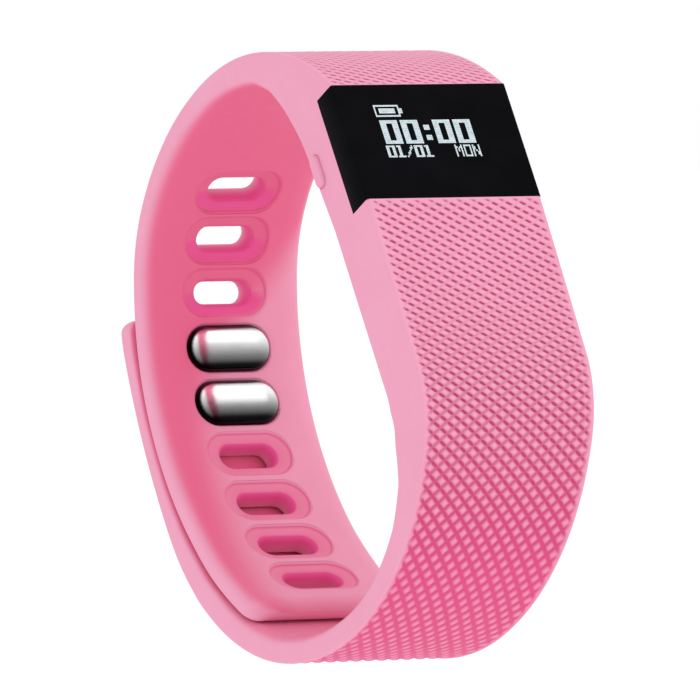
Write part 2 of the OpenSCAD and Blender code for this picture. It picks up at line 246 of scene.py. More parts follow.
def walk(side, stations):
    """Points in Y and Z, and headings in radians, at stations along a side's outer line."""
    stations = np.asarray(stations, float)
    points = np.zeros(stations.shape + (2,))
    headings = np.zeros(stations.shape)
    start = np.array(side["start"])
    heading = math.radians(side["heading"])
    passed = 0.0
    for number, (length, turn) in enumerate(side["runs"]):
        bend = math.radians(turn) / length
        here = stations >= passed if number else np.ones(stations.shape, bool)
        points[here] = start + arc(heading, bend, stations[here] - passed)
        headings[here] = heading + bend * (stations[here] - passed)
        start = start + arc(heading, bend, length)
        heading += math.radians(turn)
        passed += length
    return points, headings


def outward_at(side, headings):
    turned = headings + math.radians(side["outward"])
    return np.stack([np.cos(turned), np.sin(turned)], -1)


def phase_line(side):
    """Stations, and how many relief cells have gone by at each."""
    stations = np.linspace(0, LAST_STATION, 5601)
    rate = 1 / table(side["cell"], stations)
    cells = np.concatenate([[0], np.cumsum((rate[1:] + rate[:-1]) / 2 * np.diff(stations))])
    return stations, cells


def snap(side, station):
    """The nearest station where a whole number of cells has gone by, so that the band is parted
    between two rows of cells."""
    stations, cells = phase_line(side)
    return float(np.interp(round(np.interp(station, stations, cells)), cells, stations))


def row_stations(side, first, last):
    """Stations of the mesh rows from first to last, with close rows round the end of the strap."""
    stations, cells = phase_line(side)
    low, high = np.interp((first, last), stations, cells)
    steps = np.arange(math.ceil(low * CELL_STEPS - 1e-6), math.floor(high * CELL_STEPS + 1e-6) + 1)
    rows = np.interp(steps / CELL_STEPS, cells, stations)
    if last >= side["end"] - 1e-6:
        bend = np.linspace(0, math.pi / 2, NOSE_ROWS)
        tip = side["end"] - side["nose"] * (1 - np.sin(bend))
        rows = np.concatenate([rows[rows < tip[0] - ROW_GAP], tip])
    return rows


# ---------- rows: one closed section of the band each ----------

TABLES = ("relief", "diamonds", "edge_along", "edge_deep", "deep_inside", "deep_level",
          "deep_outside")
ROW_VALUES = ("outer", "inward", "top", "bottom", "half", "phase") + TABLES


def strap_rows(side, stations):
    """The sections of one side at these stations."""
    points, headings = walk(side, stations)
    thickness = table(side["thickness"], stations)
    half = np.minimum(table(WIDTH_BY_Y, points[:, 0]), table(WIDTH_BY_Z, points[:, 1]))
    left = side["end"] - stations
    closing = np.clip(1 - left / side["nose"], 0, 1)
    shrink = (1 - np.sqrt(1 - closing**2)) * thickness * NOSE_CLOSES
    turning = np.clip(1 - left / side["end_corner"], 0, 1)
    half = half - side["end_corner"] * (1 - np.sqrt(1 - turning**2))
    known, cells = phase_line(side)
    rows = {name: table(side[name], stations) for name in TABLES}
    rows["relief"] = rows["relief"] * smooth(0, 0.5, stations) * smooth(0, 2, left)
    rows.update(outer=points, inward=-outward_at(side, headings), top=shrink,
                bottom=thickness - shrink, half=half,
                phase=side["phase_sign"] * np.interp(stations, known, cells))
    return rows


def display_rows():
    """Sections between the two straps, under the display, from the slot side to the clasp side."""
    ends = [strap_rows(side, np.zeros(1)) for side in (SLOT_SIDE, CLASP_SIDE)]
    share = np.linspace(0, 1, DISPLAY_ROWS + 2)[1:-1, None]
    inner = [end["outer"] + end["inward"] * end["bottom"][:, None] for end in ends]
    outer = ends[0]["outer"] * (1 - share) + ends[1]["outer"] * share
    across = inner[0] * (1 - share) + inner[1] * share - outer
    length = np.linalg.norm(across, axis=1)
    rows = {name: np.zeros(len(share)) for name in ROW_VALUES}
    rows.update(outer=outer, inward=across / length[:, None], bottom=length)
    for name in ("half", "edge_along", "edge_deep", "deep_inside", "deep_level"):
        first, last = ends[0][name][0], ends[1][name][0]
        rows[name] = first * (1 - share[:, 0]) + last * share[:, 0]
    return rows


def joined(parts):
    return {name: np.concatenate([part[name] for part in parts]) for name in ROW_VALUES}


def reversed_rows(rows):
    return {name: values[::-1] for name, values in rows.items()}


def groove_field(across, along, diamonds):
    """Depth of the relief, 0 to 1, at a place in the lattice. One family of grooves is broken
    into dashes, and the other family joins in as the dashes become diamonds."""
    falling = across - along
    rising = across + along
    fall_gap = np.abs(falling - np.round(falling))
    rise_gap = np.abs(rising - np.round(rising))
    width = GROOVE_HALF_WIDTH * (1 + GROOVE_WIDENS * diamonds)
    fall_line = np.exp(-((fall_gap / width) ** 2))
    rise_line = np.exp(-((rise_gap / (RISING_WIDER * width)) ** 2))
    dash = smooth(DASH_GAP[0], DASH_GAP[1], rise_gap)
    dash = dash + (1 - dash) * diamonds
    # each diamond is slightly domed: highest at its middle, and lowest where two grooves cross
    dome = (fall_gap**2 + rise_gap**2) * -1.2 + 0.6
    cut = np.maximum(fall_line * dash, rise_line * diamonds)
    return (1 - DOME_SHARE) * cut + DOME_SHARE * dome


def band_surface(rows):
    """Vertices by row and column, with the painted shade of each: in the grooves, and deep pink
    inside the loop and on the outer face.
    """
    count = len(rows["half"])

    def column(name):
        return rows[name][:, None]

    # sizes of the rounded edges, held back where the band is thin or narrow
    height = column("bottom") - column("top")
    corner = np.minimum(OUTER_CORNER, height * 0.3)
    edge_deep = np.minimum(column("edge_deep"), height - corner - 0.12 * height)
    along = np.minimum(column("edge_along"), column("half") * 0.6)
    # outer face, from +X to -X
    across = np.linspace(1, -1, CELLS_ACROSS * CELL_STEPS + 1)[None, :]
    outer_x = across * (column("half") - corner)
    groove = groove_field(-across * CELLS_ACROSS / 2, column("phase"), column("diamonds"))
    edge = column("half") - np.abs(outer_x)
    groove = groove * smooth(RELIEF_FADE[0], RELIEF_FADE[1], edge)
    outer_depth = column("top") + groove * column("relief")
    # the rest of the -X half, mirrored later for +X: corner, side, inner edge
    turn = np.linspace(0, math.pi / 2, CORNER_STEPS + 2)[None, 1:]
    corner_x = -(column("half") - corner + corner * np.sin(turn))
    corner_depth = column("top") + corner * (1 - np.cos(turn))
    down = np.linspace(0, 1, SIDE_STEPS + 2)[None, 1:]
    side_depth = (column("top") + corner) * (1 - down) + (column("bottom") - edge_deep) * down
    side_x = -column("half") * np.ones_like(side_depth)
    turn = np.linspace(0, math.pi / 2, EDGE_STEPS + 1)[None, 1:]
    edge_x = -(column("half") - along + along * np.cos(turn))
    edge_depth = column("bottom") - edge_deep + edge_deep * np.sin(turn)
    facing = smooth(INNER_SHADE_TURN[0], INNER_SHADE_TURN[1], turn) * np.ones((count, 1))
    inner = np.linspace(-1, 1, INNER_STEPS + 1)[None, 1:-1]
    inner_x = inner * (column("half") - along)
    inner_depth = column("bottom") * np.ones_like(inner_x)
    half_x = [corner_x, side_x, edge_x]
    half_depth = [corner_depth, side_depth, edge_depth]
    x = np.concatenate([outer_x] + half_x + [inner_x] + [-p[:, ::-1] for p in half_x[::-1]], 1)
    depth = np.concatenate(
        [outer_depth] + half_depth + [inner_depth] + [p[:, ::-1] for p in half_depth[::-1]], 1)
    # how far each point faces the wrist, and from it the painted deep-pink shade
    plain = np.zeros((count, corner_x.shape[1] + side_x.shape[1]))
    facing = np.concatenate(
        [np.zeros_like(outer_x), plain, facing, np.ones_like(inner_x), facing[:, ::-1], plain], 1)
    share = (1 - x / column("half")) / 2
    deep_inside = facing * column("deep_level")
    past_line = smooth(-INNER_SHADE_BLUR, INNER_SHADE_BLUR, share - column("deep_inside"))
    deep_inside = deep_inside * (1 - past_line)
    # painted deep-pink shade on the outer face
    outward = np.zeros_like(x)
    outward[:, : groove.shape[1]] = column("deep_outside")
    deep = np.maximum(deep_inside, outward)
    # painted shade in the grooves, by the depth of the relief
    grooves = np.zeros_like(x)
    grooves[:, : groove.shape[1]] = groove * np.minimum(column("relief") / FULL_SHADE_RELIEF, 1)
    flat = rows["outer"][:, None, :] + depth[..., None] * rows["inward"][:, None, :]
    return np.concatenate([x[..., None], flat], 2), grooves, deep


def surface_normals(vertices):
    """Smooth normals of the whole band surface, so that pieces cut from it meet without a line."""
    along = np.gradient(vertices, axis=0)
    round_section = np.roll(vertices, -1, 1) - np.roll(vertices, 1, 1)
    normals = np.cross(along, round_section)
    return normals / np.maximum(np.linalg.norm(normals, axis=2, keepdims=True), 1e-12)


# ---------- meshes ----------

def new_object(name, vertices, faces):
    mesh = bpy.data.meshes.new(name)
    mesh.from_pydata((np.asarray(vertices, float) * MM).tolist(), [], faces)
    mesh.validate()
    thing = bpy.data.objects.new(name, mesh)
    bpy.context.scene.collection.objects.link(thing)
    return thing


def mesh_points(mesh):
    points = np.zeros(len(mesh.vertices) * 3)
    mesh.vertices.foreach_get("co", points)
    return points.reshape(-1, 3)


def set_values(mesh, name, values):
    attribute = mesh.attributes.get(name) or mesh.attributes.new(name, "FLOAT", "POINT")
    attribute.data.foreach_set("value", np.asarray(values, np.float32).ravel())


def shade_smooth(thing, degrees=35):
    """Smooth shading with creases where faces meet at more than this angle."""
    mesh = thing.data
    mesh.polygons.foreach_set("use_smooth", np.ones(len(mesh.polygons), bool))
    mesh.update()
    mesh.set_sharp_from_angle(angle=math.radians(degrees))


def grid_faces(rows, columns):
    """Quads of a closed strip, and one face over each end."""
    row, column = np.meshgrid(np.arange(rows - 1), np.arange(columns), indexing="ij")
    after = (column + 1) % columns
    quads = np.stack([row * columns + column, (row + 1) * columns + column,
                      (row + 1) * columns + after, row * columns + after], -1)
    faces = quads.reshape(-1, 4).tolist()
    faces.append(list(range(columns)))
    faces.append(list(range(rows * columns - 1, (rows - 1) * columns - 1, -1)))
    return faces


def band_piece(name, surface, first, last):
    """The rows first to last of the band's surface, as a closed mesh."""
    vertices, grooves, deep, normals = (values[first:last + 1] for values in surface)
    rows, columns = grooves.shape
    piece = new_object(name, vertices.reshape(-1, 3), grid_faces(rows, columns))
    set_values(piece.data, "groove", grooves)
    set_values(piece.data, "deep", deep)
    shade_smooth(piece, 60)
    piece.data.normals_split_custom_set_from_vertices(normals.reshape(-1, 3).tolist())
    return piece


# Each band piece's normals by vertex, kept for the cuts, and how near an old vertex has to be,
# and how near its surface, for a vertex of the cut piece to keep its values
PIECE_NORMALS = {}
SAME_VERTEX = 0.05
NEAR_VERTEX = 1
ON_SURFACE = 0.01


def cut_away(piece, cutters):
    """Cuts shapes out of a band piece. What is left of its surface keeps its values and normals,
    and the cut faces take the painted deep-pink shade of the surface next to them."""
    before = mesh_points(piece.data)
    kept = {}
    for name in ("groove", "deep"):
        kept[name] = np.zeros(len(before), np.float32)
        if name in piece.data.attributes:
            piece.data.attributes[name].data.foreach_get("value", kept[name])
    for cutter in cutters:
        modifier = piece.modifiers.new("cut", "BOOLEAN")
        modifier.operation = "DIFFERENCE"
        modifier.solver = "MANIFOLD"
        modifier.object = cutter
    graph = bpy.context.evaluated_depsgraph_get()
    mesh = bpy.data.meshes.new_from_object(piece.evaluated_get(graph))
    piece.modifiers.clear()
    piece.data = mesh
    for cutter in cutters:
        bpy.data.objects.remove(cutter)
    tree = KDTree(len(before))
    for index, place in enumerate(before):
        tree.insert(place, index)
    tree.balance()
    found = [tree.find(place) for place in mesh_points(mesh)]
    nearest = np.array([index for _, index, _ in found])
    away = np.array([distance for _, _, distance in found]) / MM
    set_values(mesh, "deep", kept["deep"][nearest])
    set_values(mesh, "groove", kept["groove"][nearest] * (away < SAME_VERTEX))
    shade_smooth(piece, 35)
    if piece.name not in PIECE_NORMALS:
        return
    normals = PIECE_NORMALS[piece.name][nearest]
    off_surface = np.abs(np.sum((mesh_points(mesh) - before[nearest]) * normals, 1)) / MM
    normals[(off_surface > ON_SURFACE) | (away > NEAR_VERTEX)] = 0.0
    for edge in mesh.edges:
        if edge.use_edge_sharp:
            normals[list(edge.vertices)] = 0.0
    corners = np.zeros(len(mesh.loops), int)
    mesh.loops.foreach_get("vertex_index", corners)
    mesh.normals_split_custom_set(normals[corners].tolist())


# ---------- rings: ovals stacked into a closed shape ----------

def oval_ring(length, width, height, steps=14):
    """An oval with half-round ends: its long side along X, at this height."""
    turns = np.linspace(-math.pi / 2, math.pi / 2, steps)
    radius = width / 2
    end = max((length - width) / 2, 0.0)
    right = [(end + radius * math.cos(t), radius * math.sin(t), height) for t in turns]
    left = [(-x, -y, z) for x, y, z in right]
    return np.array(right + left)


def stack(rings):
    """Vertices and faces of a closed stack of rings, each with the same number of points."""
    columns = len(rings[0])
    faces = []
    for row in range(len(rings) - 1):
        for column in range(columns):
            after = (column + 1) % columns
            faces.append((row * columns + column, row * columns + after,
                          (row + 1) * columns + after, (row + 1) * columns + column))
    faces.append(list(range(columns - 1, -1, -1)))
    faces.append(list(range((len(rings) - 1) * columns, len(rings) * columns)))
    return np.concatenate(rings), faces


def stacks_object(name, stacks):
    """Several placed stacks in one mesh; each is (rings, matrix with its shift in metres)."""
    vertices = []
    faces = []
    for rings, matrix in stacks:
        points, rows = stack(rings)
        offset = sum(len(part) for part in vertices)
        turned = np.array(matrix, float)
        vertices.append(points @ turned[:3, :3].T + turned[:3, 3] / MM)
        faces += [[index + offset for index in face] for face in rows]
    return new_object(name, np.concatenate(vertices), faces)


def box_rings(x, y, z):
    corners = ((x[0], y[0]), (x[1], y[0]), (x[1], y[1]), (x[0], y[1]))
    return [np.array([(a, b, height) for a, b in corners]) for height in z]


def strap_frame(side, station):
    """Frame on a side's outer line: X across, Z out of the band, as the CAD has it."""
    point, heading = (values[0] for values in walk(side, np.array([station])))
    turn = heading + (math.pi if side is SLOT_SIDE else 0.0)
    return (Matrix.Translation((0, point[0] * MM, point[1] * MM))
            @ Matrix.Rotation(turn, 4, "X"))


def slot_frame(number):
    return strap_frame(SLOT_SIDE, SLOT_FIRST + number * SLOT_PITCH)


def seen_from(matrix, places):
    """Places in metres, as points in millimetres in this frame."""
    turned = np.array(matrix.inverted(), float)
    return (places @ turned[:3, :3].T + turned[:3, 3]) / MM


def slot_rings(pressed):
    """A cutter for one slot: the hole, and the rounded seat round it on the wrist side. Where a
    stud is pressed in, the whole floor of the seat is down."""
    # each step is the seat or the hole, how much longer and wider it is there, and its depth
    steps = [(SEAT, 0.2, 0.2, -0.8)]
    for turn in np.linspace(0, math.pi / 2, 5):
        grow = SEAT_ROUND[0] * (1 - math.sin(turn))
        steps.append((SEAT, grow, grow, SEAT_ROUND[1] * (1 - math.cos(turn))))
    if pressed:
        steps.append((SEAT, -0.1, -0.1, SEAT_DEEP - 0.1))
        steps.append((SEAT, -0.4, -0.4, SEAT_DEEP))
        steps.append((HOLE, 0.3, 0.3, SEAT_DEEP + 0.02))
    else:
        steps.append((SEAT, -0.2, -0.2, 0.27))
        steps.append((SEAT, -0.5, -0.45, 0.33))
        steps.append((HOLE, 0.8, 0.75, 0.42))
        steps.append((HOLE, 0.5, 0.45, 0.55))
    steps.append((HOLE, 0, 0, SEAT_DEEP + 0.1))
    steps.append((HOLE, 0, 0, SLOT_THICK - 0.15))
    steps.append((HOLE, 0.1, 0.1, SLOT_THICK + 0.02))
    steps.append((HOLE, 0.3, 0.3, SLOT_THICK + 0.9))
    return [oval_ring(size[0] + longer, size[1] + wider, deep - SLOT_THICK)
            for size, longer, wider, deep in steps]


def paint_slot_shade(piece):
    """Painted shade in the slots: saturated pink down in the holes, and on the lower half of the
    seats over the open holes.
    """
    mesh = piece.data
    places = mesh_points(mesh)
    slot_shade = np.zeros(len(places))
    deep = np.zeros(len(places), np.float32)
    mesh.attributes["deep"].data.foreach_get("value", deep)
    for number in range(SLOT_COUNT):
        x, y, z = seen_from(slot_frame(number), places).T
        sideways = np.maximum(np.abs(x) - (SEAT[0] - SEAT[1]) / 2, 0)
        inside = np.hypot(sideways, y) < SEAT[1] / 2 + 0.04
        down = (SLOT_THICK + z) * inside
        under_skin = smooth(0.1, 0.5, -z)
        # the painted shade in each hole starts at this depth, and over the open holes less deep on
        # the lower half
        starts = np.full(len(y), 0.45)
        if number < STUD_SLOTS[0]:
            starts = 0.28 + 0.3 * smooth(-0.6, 0.6, y)
        in_hole = smooth(-0.08, 0.08, down - starts) * under_skin
        # a thinner line of painted shade on the seat's own wall, between two depths
        seat_wall = 0.6 * smooth(0.08, 0.14, down) * smooth(0.3, 0.24, down)
        slot_shade = np.maximum(slot_shade, np.maximum(in_hole, seat_wall))
        # painted deep-pink shade down the seat
        deep = np.maximum(deep, 0.45 * smooth(0.1, 0.3, down) * under_skin)
    set_values(mesh, "deep", deep)
    set_values(mesh, "slot_shade", slot_shade)


# ---------- materials ----------

def linear(colour):
    """A colour as it looks on a screen, 0 to 1, as the light values that Blender works in."""
    return tuple(((c + 0.055) / 1.055) ** 2.4 if c > 0.04 else c / 12.92 for c in colour) + (1.0,)


class Finish:
    """A material being built: a shader, object coordinates, and short calls that add nodes."""

    def __init__(self, name):
        self.material = bpy.data.materials.new(name)
        self.material.use_nodes = True
        self.nodes = self.material.node_tree.nodes
        self.links = self.material.node_tree.links
        self.shader = self.nodes["Principled BSDF"]
        self.place = self.nodes.new("ShaderNodeTexCoord").outputs["Object"]

    def set(self, **values):
        sockets = {socket.name.lower().replace(" ", "_"): socket for socket in self.shader.inputs}
        for name, value in values.items():
            sockets[name].default_value = value
        return self

    def to(self, output, name):
        self.links.new(output, self.shader.inputs[name])

    def noise(self, scale, detail=3.0, rough=0.55):
        node = self.nodes.new("ShaderNodeTexNoise")
        node.inputs["Scale"].default_value = scale
        node.inputs["Detail"].default_value = detail
        node.inputs["Roughness"].default_value = rough
        self.links.new(self.place, node.inputs["Vector"])
        return node.outputs["Fac"]

    def value(self, name):
        node = self.nodes.new("ShaderNodeAttribute")
        node.attribute_name = name
        return node.outputs["Fac"]

    def spread(self, source, low, high, to_low=0.0, to_high=1.0):
        node = self.nodes.new("ShaderNodeMapRange")
        for name, value in zip(("From Min", "From Max", "To Min", "To Max"),
                               (low, high, to_low, to_high)):
            node.inputs[name].default_value = value
        self.links.new(source, node.inputs["Value"])
        return node.outputs["Result"]

    def mix(self, share, first, second):
        node = self.nodes.new("ShaderNodeMix")
        node.data_type = "RGBA"
        self.links.new(share, node.inputs["Factor"])
        for value, socket in ((first, node.inputs[6]), (second, node.inputs[7])):
            if isinstance(value, tuple):
                socket.default_value = value
            else:
                self.links.new(value, socket)
        return node.outputs[2]

    def bump(self, source, strength, distance):
        node = self.nodes.new("ShaderNodeBump")
        node.inputs["Strength"].default_value = strength
        node.inputs["Distance"].default_value = distance
        self.links.new(source, node.inputs["Height"])
        self.to(node.outputs["Normal"], "Normal")


def soft_pink():
    """Matt moulded silicone, pale on faces and edges, with painted shade: deeper pink inside the
    loop and on the lower outer face, and deepest in the grooves and slots."""
    finish = Finish("soft_pink")
    cloud = finish.noise(160, 3)
    pale = finish.mix(finish.spread(cloud, 0.3, 0.7), linear((0.912, 0.608, 0.718)),
                      linear((0.922, 0.625, 0.734)))
    # painted shade of deep pink inside the loop and on the lower outer face
    deep = finish.value("deep")
    surface = finish.mix(deep, pale, linear((0.905, 0.43, 0.58)))
    # painted shade in the slots, in saturated pink
    slot_shade = finish.mix(finish.value("slot_shade"), surface, linear((0.91, 0.35, 0.61)))
    # painted shade in the grooves: darker magenta on pale faces, less dark where the deep-pink
    # shade is
    groove = finish.mix(finish.spread(deep, 0.0, 0.35), linear((0.70, 0.21, 0.39)),
                        linear((0.85, 0.28, 0.50)))
    finish.to(finish.mix(finish.spread(finish.value("groove"), 0.08, 0.7), slot_shade, groove),
              "Base Color")
    finish.to(finish.spread(finish.noise(900, 2), 0.3, 0.7, 0.5, 0.62), "Roughness")
    finish.bump(finish.noise(5200, 2, 0.7), 0.12, 0.00002)
    return finish.set(specular_ior_level=0.25).material


def stud_steel():
    """Polished steel, with a painted highlight on the crown and painted shade round the rim."""
    finish = Finish("stud_steel")
    marks = finish.noise(900, 4, 0.65)
    bright = finish.mix(finish.spread(marks, 0.3, 0.7), (0.93, 0.93, 0.93, 1.0),
                        (1.0, 1.0, 1.0, 1.0))
    # painted light: near black where the rim is shaded, up to bright where the crown takes the
    # highlight
    finish.to(finish.mix(finish.value("crown"), (0.004, 0.004, 0.005, 1.0), bright),
              "Base Color")
    finish.to(finish.spread(marks, 0.3, 0.7, 0.2, 0.28), "Roughness")
    finish.bump(marks, 0.04, 0.00001)
    return finish.set(metallic=1.0).material


def moulded(name, colour, second, rough, grain=3000.0, grain_depth=0.00002, **values):
    """Plastic or similar: two close shades in soft clouds, with a fine grain."""
    finish = Finish(name)
    share = finish.spread(finish.noise(220, 4), 0.35, 0.65)
    finish.to(finish.mix(share, linear(colour), linear(second)), "Base Color")
    finish.to(finish.spread(finish.noise(700, 3), 0.3, 0.7, rough[0], rough[1]), "Roughness")
    finish.bump(finish.noise(grain, 2), 0.15, grain_depth)
    return finish.set(**values).material


def metal(name, colour, second, rough, stretch=None):
    """Metal with faint polishing marks, drawn out along one direction where stretch is given."""
    finish = Finish(name)
    if stretch:
        mapping = finish.nodes.new("ShaderNodeMapping")
        mapping.inputs["Scale"].default_value = stretch
        finish.links.new(finish.place, mapping.inputs["Vector"])
        finish.place = mapping.outputs["Vector"]
    marks = finish.noise(900, 4, 0.65)
    finish.to(finish.mix(finish.spread(marks, 0.3, 0.7), linear(colour), linear(second)),
              "Base Color")
    finish.to(finish.spread(marks, 0.3, 0.7, rough[0], rough[1]), "Roughness")
    finish.bump(marks, 0.04, 0.00001)
    return finish.set(metallic=1.0).material


def circuit_board():
    """Green solder mask over copper tracks."""
    finish = Finish("circuit_board")
    tracks = finish.nodes.new("ShaderNodeTexBrick")
    tracks.inputs["Scale"].default_value = 420
    tracks.inputs["Mortar Size"].default_value = 0.03
    finish.links.new(finish.place, tracks.inputs["Vector"])
    lines = tracks.outputs["Fac"]
    mask = finish.mix(finish.noise(300), linear((0.06, 0.30, 0.17)), linear((0.09, 0.38, 0.22)))
    finish.to(finish.mix(lines, mask, linear((0.16, 0.50, 0.30))), "Base Color")
    finish.to(finish.spread(finish.noise(1500), 0.3, 0.7, 0.28, 0.42), "Roughness")
    finish.bump(lines, 0.3, 0.00003)
    return finish.material


def lit_pixels():
    """The panel's lit dots: pale blue-white light, a little uneven."""
    finish = Finish("lit_pixels")
    glow = finish.mix(finish.spread(finish.noise(2600, 2), 0.35, 0.65),
                      linear((0.80, 0.90, 0.93)), linear((0.93, 0.97, 0.99)))
    finish.to(glow, "Emission Color")
    finish.set(base_color=(0.02, 0.02, 0.02, 1.0), emission_strength=0.9)
    finish.to(finish.spread(finish.noise(1500), 0.3, 0.7, 0.3, 0.45), "Roughness")
    finish.bump(finish.noise(6000), 0.1, 0.00001)
    return finish.material


def floor_finish():
    finish = Finish("studio_floor")
    finish.to(finish.mix(finish.noise(6), linear((0.985, 0.985, 0.985)), linear((1.0, 1.0, 1.0))),
              "Base Color")
    return finish.set(roughness=0.9, emission_color=(1, 1, 1, 1), emission_strength=0.08).material


def materials():
    """Every finish, by the record's slot name."""
    return {
        "soft_band": soft_pink(),
        "window": moulded("window_black", (0.05, 0.045, 0.055), (0.065, 0.06, 0.075),
                          (0.12, 0.2), 2400, 0.000008, ior=1.05, specular_ior_level=0.3),
        "black_plastic": moulded("black_plastic", (0.15, 0.15, 0.165), (0.18, 0.18, 0.19),
                                 (0.5, 0.65)),
        "studs": stud_steel(),
        "steel": metal("brushed_steel", (0.72, 0.73, 0.74), (0.80, 0.81, 0.82), (0.25, 0.40),
                       (1, 14, 14)),
        "glass_panel": moulded("panel_glass", (0.10, 0.12, 0.15), (0.12, 0.15, 0.19),
                               (0.05, 0.12), 1200, 0.000005),
        "flex": moulded("flex_amber", (0.72, 0.45, 0.16), (0.80, 0.53, 0.22), (0.28, 0.40)),
        "board": circuit_board(),
        "chips": moulded("chip_black", (0.08, 0.08, 0.085), (0.11, 0.11, 0.115), (0.42, 0.60)),
        "ceramic": moulded("ceramic", (0.68, 0.56, 0.38), (0.78, 0.68, 0.50), (0.35, 0.50)),
        "foil": metal("cell_foil", (0.74, 0.75, 0.77), (0.83, 0.84, 0.86), (0.28, 0.45)),
        "wire": moulded("wire_jacket", (0.55, 0.10, 0.12), (0.66, 0.14, 0.16), (0.35, 0.5)),
        "gold": metal("gold_contacts", (0.86, 0.68, 0.32), (0.93, 0.77, 0.42), (0.18, 0.28)),
        "seal": moulded("seal_rubber", (0.19, 0.19, 0.21), (0.24, 0.24, 0.26), (0.6, 0.8)),
        "switch_plastic": moulded("switch_plastic", (0.80, 0.80, 0.82), (0.87, 0.87, 0.88),
                                  (0.35, 0.5)),
        "switch_red": moulded("switch_red", (0.52, 0.10, 0.15), (0.62, 0.14, 0.19),
                              (0.35, 0.5)),
    }


FINISHES = materials()


def finish_piece(piece, slot):
    piece.data.materials.clear()
    piece.data.materials.append(FINISHES[slot])
    return piece


# ---------- the band ----------

def build_band():
    """The whole band as one surface, cut across into pieces."""
    slot_stations = row_stations(SLOT_SIDE, 0, SLOT_SIDE["end"])
    clasp_stations = row_stations(CLASP_SIDE, 0, CLASP_SIDE["end"])
    rows = joined([reversed_rows(strap_rows(SLOT_SIDE, slot_stations)), display_rows(),
                   strap_rows(CLASP_SIDE, clasp_stations)])
    vertices, grooves, deep = band_surface(rows)
    normals = surface_normals(vertices)
    surface = (vertices, grooves, deep, normals)

    def slot_row(station):
        away = np.abs(slot_stations - snap(SLOT_SIDE, station))
        return len(slot_stations) - 1 - int(np.argmin(away))

    def clasp_row(station):
        away = np.abs(clasp_stations - snap(CLASP_SIDE, station))
        return len(slot_stations) + DISPLAY_ROWS + int(np.argmin(away))

    names = ("strap_with_slots", "strap_over_the_top", "sleeve", "front_strap", "under_strap",
             "clasp_strap_end")
    cuts = (0, slot_row(SLOT_MID_CUT), slot_row(SLEEVE_SLOT_CUT), clasp_row(SLEEVE_CLASP_CUT),
            clasp_row(CLASP_MID_CUT), clasp_row(CLASP_LOW_CUT), len(vertices) - 1)
    pieces = {}
    for name, first, last in zip(names, cuts, cuts[1:]):
        pieces[name] = band_piece(name, surface, first, last)
        PIECE_NORMALS[name] = normals[first:last + 1].reshape(-1, 3)
    return pieces


def bend_over(piece, side, station, spread, first_body, second_body):
    """Finds the hinge's point and heading on the side's outer line, and bakes the piece's
    placement into its mesh.
    """
    point, heading = (values[0] for values in walk(side, np.array([station])))
    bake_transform(piece)


BAND = build_band()

slot_cutter = stacks_object("slot_cutter", [
    (slot_rings(number in STUD_SLOTS), slot_frame(number)) for number in range(SLOT_COUNT)])
cut_away(BAND["strap_with_slots"], [slot_cutter])
paint_slot_shade(BAND["strap_with_slots"])

# For each strap piece: the nodes it replaces, its hinge's side and station, half the length of
# the bend, and the two bodies the hinge joins
BENDS = {
    "strap_over_the_top": (("slot_strap_top",), SLOT_SIDE, 20.0, TOP_BEND_SPREAD,
                           ("tracker", "slot_strap_upper")),
    "strap_with_slots": (("slot_strap_back", "slot_strap_clasped", "slot_strap_tail"),
                         SLOT_SIDE, 33.5, TOP_BEND_SPREAD,
                         ("slot_strap_upper", "slot_strap_lower")),
    "front_strap": (("clasp_strap_front",), CLASP_SIDE, 37.0, FRONT_BEND_SPREAD,
                    ("tracker", "clasp_strap_upper")),
    "under_strap": (("clasp_strap_under",), CLASP_SIDE, 60.0, LOW_BEND_SPREAD,
                    ("clasp_strap_upper", "clasp_strap_lower")),
    "clasp_strap_end": (("clasp_strap_tip",), CLASP_SIDE, 90.0, LOW_BEND_SPREAD,
                        ("clasp_strap_lower", "clasp_end")),
}
for name, (nodes, side, station, spread, bodies) in BENDS.items():
    finish_piece(BAND[name], "soft_band")
    bend_over(BAND[name], side, station, spread, *bodies)
    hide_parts(*nodes)


def button_ring(size, level, x, grow=0.0):
    """An oval round the button's line: its long side down the display, at this X."""
    ring = oval_ring(size[0] + grow, size[1] + grow, 0)
    return np.stack([np.full(len(ring), x), ring[:, 0] + BUTTON_V, ring[:, 1] + level], 1)


def sleeve_cutters():
    """The window's recess, the core's pocket, the charging block's opening and the button's."""
    past_side = HALF_BAND + 2.2
    overlap = 0.1
    recess = box_rings((-past_side, past_side), (-WINDOW_HALF, WINDOW_HALF), (-WINDOW_DEEP, 4))
    pocket = box_rings((-TRAY_HALF, TRAY_HALF), (DEEP_V[0], DEEP_V[1] + overlap / 10),
                       (DEEP_W, -WINDOW_DEEP + overlap))
    bay = box_rings((-TRAY_HALF, TRAY_HALF), BAY_V, BAY_W)
    plug = box_rings((-PLUG_HALF, PLUG_HALF), PLUG_V, (DEEP_W - 2.5, DEEP_W + overlap / 2))
    hole = [button_ring(CAP, BUTTON_W, x, CAP_PLAY) for x in (FLANGE_X[1] - overlap, past_side - 1)]
    room = [button_ring(FLANGE, FLANGE_W, x, CAP_PLAY) for x in (TRAY_HALF - overlap, FLANGE_X[1])]
    shapes = {"window_cutter": recess, "pocket_cutter": pocket, "bay_cutter": bay,
              "plug_cutter": plug, "button_cutter": hole, "flange_cutter": room}
    return [stacks_object(name, [(rings, CORE)]) for name, rings in shapes.items()]


cut_away(BAND["sleeve"], sleeve_cutters())
finish_piece(BAND["sleeve"], "soft_band")
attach(BAND["sleeve"], "tracker")
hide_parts("band_sleeve")


# ---------- clasp ----------

# Painted highlight and shade on a stud's crown, from its lower edge (-1) to its upper edge (1)
CROWN = ((-1, 0.0), (-0.8, 0.0), (-0.72, 0.02), (-0.6, 0.09), (-0.4, 0.2), (-0.2, 0.36),
         (0.0, 0.56), (0.2, 0.78), (0.4, 0.95), (0.66, 1.0), (0.82, 0.5), (0.93, 0.15), (1, 0.01))


